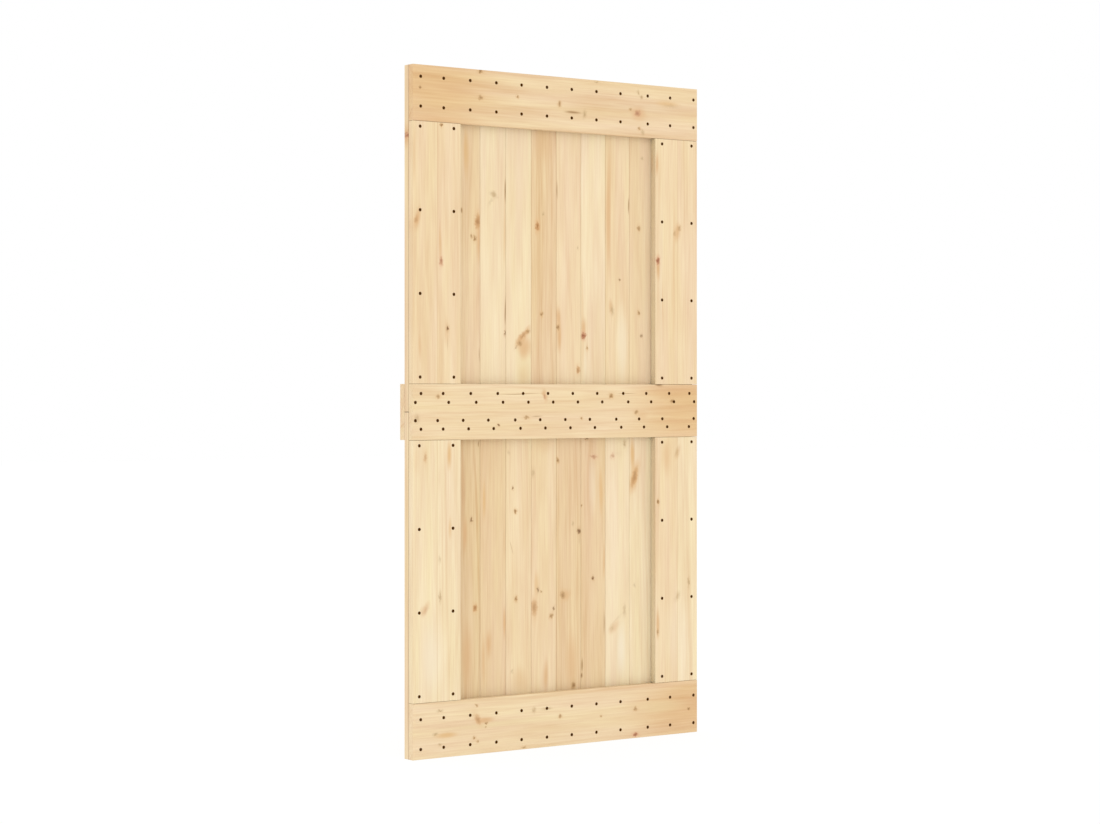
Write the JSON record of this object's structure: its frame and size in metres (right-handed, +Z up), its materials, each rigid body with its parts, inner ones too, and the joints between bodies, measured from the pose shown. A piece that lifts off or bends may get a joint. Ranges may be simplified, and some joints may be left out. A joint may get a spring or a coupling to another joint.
{
  "type": "sliding barn door leaf",
  "caption": "Framed and boarded sliding door leaf: upright tongue-and-groove pine planks behind a planted frame of rails and stiles, with a rail across the back.",
  "frame": {"origin": "middle of the door's top edge, on the plane where the front frame meets the planks, which is halfway through the edge's thickness", "axes": "+X along the width to the right as seen from the front, +Y from the front face to the back, +Z up"},
  "size_m": [1.1, 0.072, 2.1],
  "materials": {
    "pine_planks": "matte",
    "pine_frame": "matte",
    "nail_heads": "matte"
  },
  "bodies": {
    "root": {"upper_plank_01": "pine_planks", "upper_plank_02": "pine_planks", "upper_plank_03": "pine_planks", "upper_plank_04": "pine_planks", "upper_plank_05": "pine_planks", "upper_plank_06": "pine_planks", "upper_plank_07": "pine_planks", "upper_plank_08": "pine_planks", "upper_plank_09": "pine_planks", "upper_plank_10": "pine_planks", "upper_plank_11": "pine_planks", "upper_plank_12": "pine_planks", "lower_plank_01": "pine_planks", "lower_plank_02": "pine_planks", "lower_plank_03": "pine_planks", "lower_plank_04": "pine_planks", "lower_plank_05": "pine_planks", "lower_plank_06": "pine_planks", "lower_plank_07": "pine_planks", "lower_plank_08": "pine_planks", "lower_plank_09": "pine_planks", "lower_plank_10": "pine_planks", "lower_plank_11": "pine_planks", "lower_plank_12": "pine_planks", "top_rail": "pine_frame", "middle_rail": "pine_frame", "bottom_rail": "pine_frame", "upper_left_stile": "pine_frame", "upper_right_stile": "pine_frame", "lower_left_stile": "pine_frame", "lower_right_stile": "pine_frame", "back_rail": "pine_frame"}
  },
  "joints": []
}
